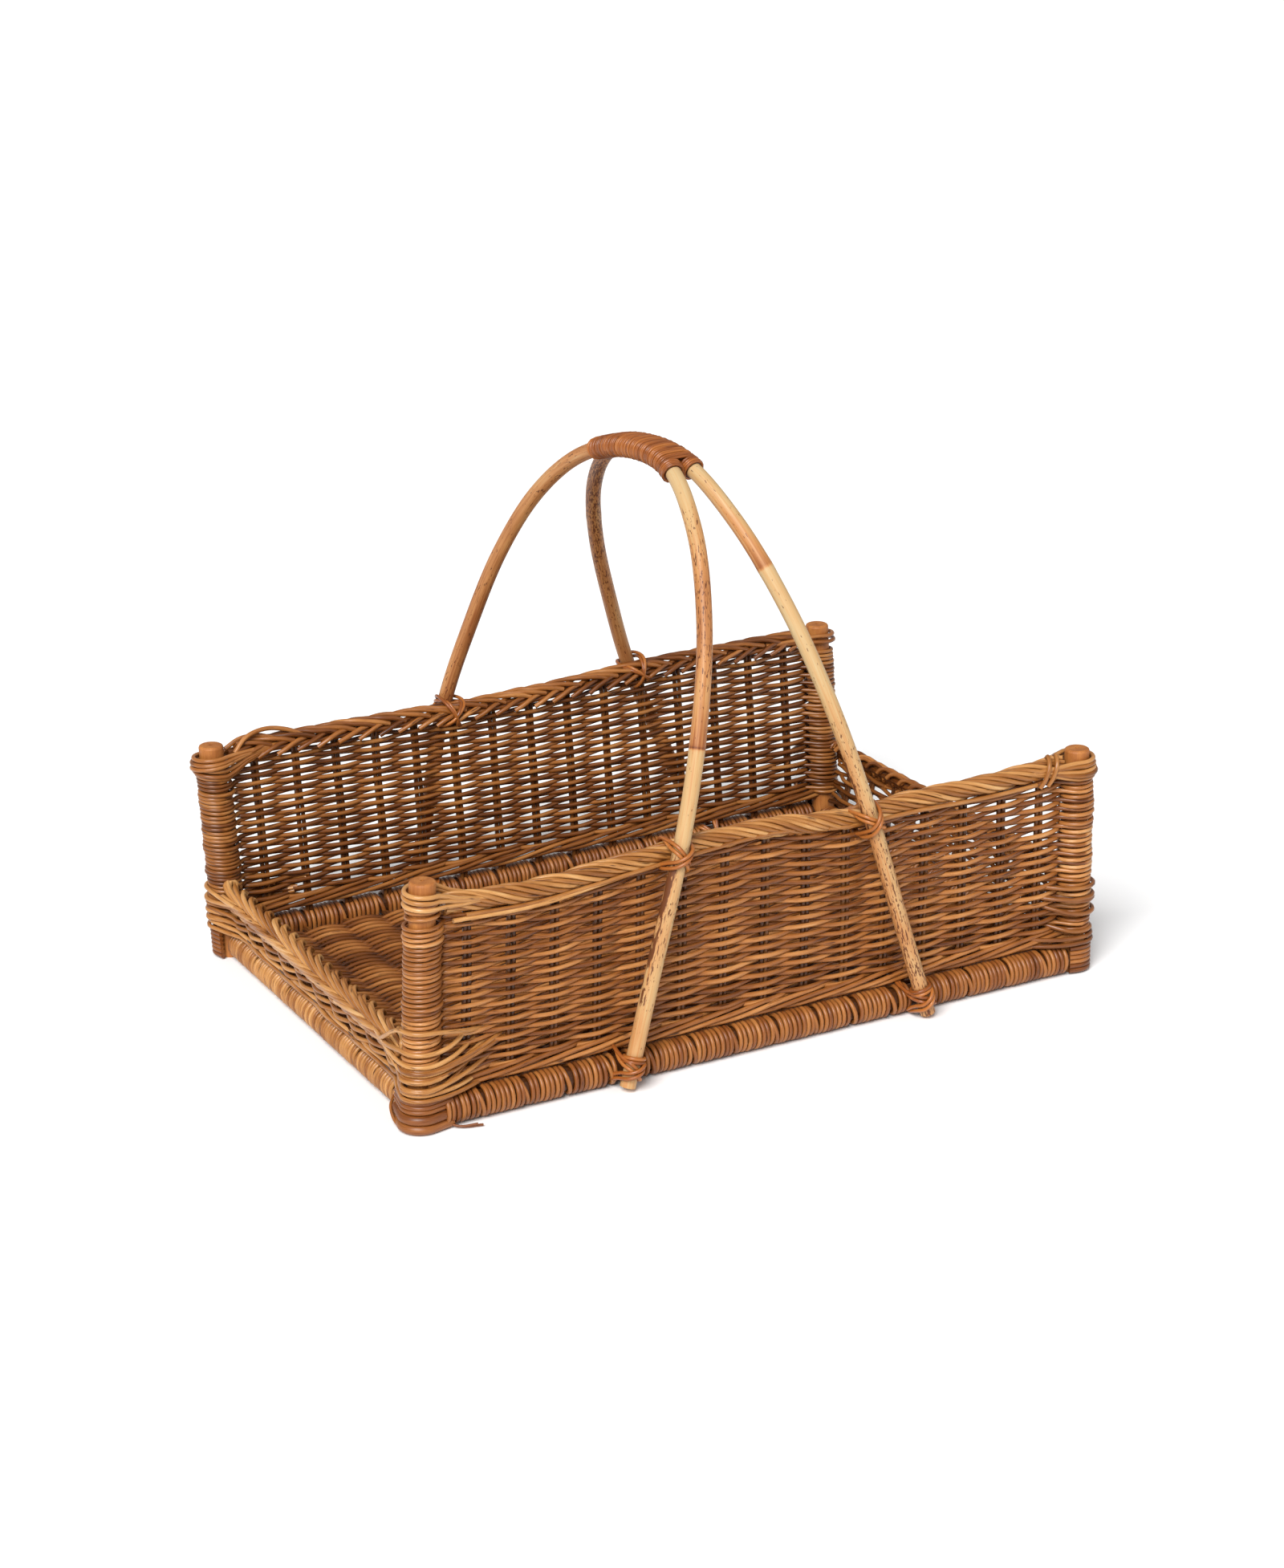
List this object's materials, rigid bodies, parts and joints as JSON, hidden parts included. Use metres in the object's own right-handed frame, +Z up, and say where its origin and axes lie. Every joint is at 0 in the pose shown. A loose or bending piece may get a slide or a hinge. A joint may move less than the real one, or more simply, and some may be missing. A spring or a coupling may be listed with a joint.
{
  "type": "rattan carrying basket",
  "caption": "Open-ended rectangular rattan carrying basket: woven long walls between corner posts, low plaited end walls, a woven floor and a tall fixed handle of two bent rods bound at the grip.",
  "frame": {"origin": "on the floor, at the centre of the overall box in plan", "axes": "+X along the length, towards the right end; +Y from the front wall to the back wall, along the handle's arch; +Z up"},
  "size_m": [0.6043, 0.4377, 0.4261],
  "materials": {
    "post_rattan": "sawn rattan rod, satin",
    "wrap_cane": "round cane, worn varnish",
    "base_rattan": "rattan rod, satin",
    "weave_cane": "woven round cane, worn varnish",
    "border_cane": "plaited round cane, worn varnish",
    "handle_rattan": "peeled rattan rod with brown mottling, satin",
    "lashing_cane": "split cane, satin"
  },
  "bodies": {
    "root": {"post_front_left": "post_rattan", "post_front_right": "post_rattan", "post_back_left": "post_rattan", "post_back_right": "post_rattan", "post_wrap_front_left": "wrap_cane", "post_wrap_front_right": "wrap_cane", "post_wrap_back_left": "wrap_cane", "post_wrap_back_right": "wrap_cane", "corner_band_front_left": "base_rattan", "corner_band_front_right": "base_rattan", "corner_band_back_left": "base_rattan", "corner_band_back_right": "base_rattan", "base_rail_front": "base_rattan", "base_rail_back": "base_rattan", "base_rail_left": "base_rattan", "base_rail_right": "base_rattan", "rail_binding_front_left": "wrap_cane", "rail_binding_front_middle": "wrap_cane", "rail_binding_front_right": "wrap_cane", "rail_binding_back_left": "wrap_cane", "rail_binding_back_middle": "wrap_cane", "rail_binding_back_right": "wrap_cane", "rail_binding_left": "wrap_cane", "rail_binding_right": "wrap_cane", "stakes_front": "weave_cane", "stakes_back": "weave_cane", "stakes_left": "weave_cane", "stakes_right": "weave_cane", "floor_stakes": "weave_cane", "weave_front": "weave_cane", "weave_back": "weave_cane", "weave_left": "weave_cane", "weave_right": "weave_cane", "floor_weave": "weave_cane", "border_front": "border_cane", "border_back": "border_cane", "border_left": "border_cane", "border_right": "border_cane", "handle_hoop_left": "handle_rattan", "handle_hoop_right": "handle_rattan", "grip_binding": "lashing_cane", "lashing_border_front_left": "lashing_cane", "lashing_border_front_right": "lashing_cane", "lashing_border_back_left": "lashing_cane", "lashing_border_back_right": "lashing_cane", "lashing_foot_front_left": "lashing_cane", "lashing_foot_front_right": "lashing_cane", "lashing_foot_back_left": "lashing_cane", "lashing_foot_back_right": "lashing_cane"}
  },
  "joints": []
}
